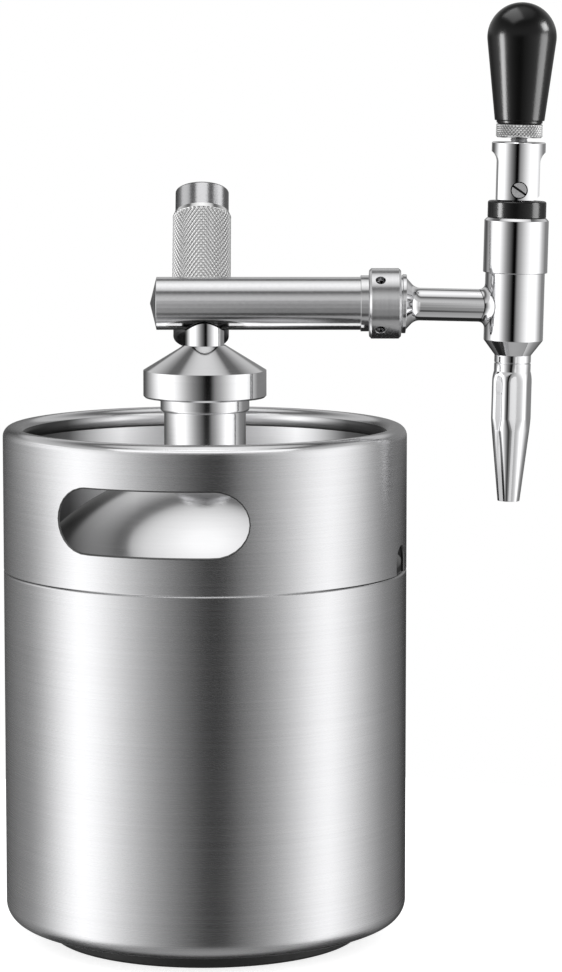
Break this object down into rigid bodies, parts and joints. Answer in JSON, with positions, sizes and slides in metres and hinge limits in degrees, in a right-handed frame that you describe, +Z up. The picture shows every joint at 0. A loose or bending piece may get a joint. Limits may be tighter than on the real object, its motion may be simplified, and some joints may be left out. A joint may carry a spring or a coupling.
{
  "type": "nitro cold brew keg",
  "caption": "Small steel drink keg with a carrying collar, a lift-out dispensing head, a gas charger in a sleeve and a cam-lever tap with a tapered nozzle.",
  "frame": {"origin": "centre of the foot's underside, on the table", "axes": "+Z up the keg's axis, +X along the arm to the tap, -Y towards the viewer of the picture"},
  "size_m": [0.2289, 0.168, 0.3893],
  "materials": {
    "brushed_sheet": "brushed around the keg",
    "polished_steel": "polished",
    "plain_steel": "turned",
    "foot_rubber": "matte",
    "seal_rubber": "smooth",
    "seal_white": "smooth",
    "dark_alloy": "black anodised",
    "charger_shell": "zinc grey",
    "ring_plastic": "gloss",
    "knob_plastic": "high gloss",
    "insert_brass": "turned"
  },
  "bodies": {
    "keg": {"tank_cup": "brushed_sheet", "tank_dome": "brushed_sheet", "neck_spout": "polished_steel", "handle_collar": "brushed_sheet", "base_foot": "foot_rubber"},
    "head": {"stem": "polished_steel", "neck_gasket": "seal_white", "dip_tube": "plain_steel", "dip_tube_seal": "seal_rubber", "arm": "polished_steel", "snap_ring": "plain_steel", "shank_washer": "seal_white", "gas_body": "dark_alloy", "piercing_pin": "plain_steel", "piercing_seal": "seal_white", "check_valve": "seal_rubber", "faucet_body": "polished_steel", "bonnet": "polished_steel", "friction_ring": "ring_plastic", "rod_seal": "seal_rubber", "valve_spring": "plain_steel", "restrictor_disc": "plain_steel", "nozzle": "polished_steel", "nozzle_seal": "seal_rubber"},
    "cap_nut": {"cap_nut": "polished_steel"},
    "coupling_nut": {"coupling_nut": "polished_steel"},
    "charger": {"charger_sleeve": "polished_steel", "gas_charger": "charger_shell"},
    "valve": {"valve_rod": "plain_steel", "valve_plug": "seal_rubber"},
    "lever": {"lever": "polished_steel", "pivot_screw": "plain_steel", "lever_stud": "plain_steel", "jam_nut": "polished_steel", "handle_knob": "knob_plastic", "knob_insert": "insert_brass"}
  },
  "joints": [
    {"name": "head_lift", "type": "slide", "parent": "keg", "child": "head", "axis": [0, 0, 1], "range_m": [0, 0.225]},
    {"name": "cap_nut_turn", "type": "hinge", "parent": "head", "child": "cap_nut", "pos_m": [0, 0, 0.2375], "axis": [0, 0, 1], "continuous": true},
    {"name": "coupling_nut_turn", "type": "hinge", "parent": "head", "child": "coupling_nut", "pos_m": [0.0747, 0, 0.2655], "axis": [1, 0, 0], "continuous": true},
    {"name": "sleeve_draw", "type": "slide", "parent": "head", "child": "charger", "axis": [0, 0.4384, 0.8988], "range_m": [0, 0.07]},
    {"name": "valve_lift", "type": "slide", "parent": "head", "child": "valve", "axis": [0.0218, 0, 0.9998], "range_m": [0, 0.0032], "deforming": ["valve_spring"]},
    {"name": "lever_pull", "type": "hinge", "parent": "valve", "child": "lever", "pos_m": [0.12929, 0, 0.31263], "axis": [0, 1, 0], "range_deg": [0, 45]}
  ],
  "couplings": [
    {"joint": "valve_lift", "follows": "lever_pull", "m_per_rad": 0.004}
  ]
}
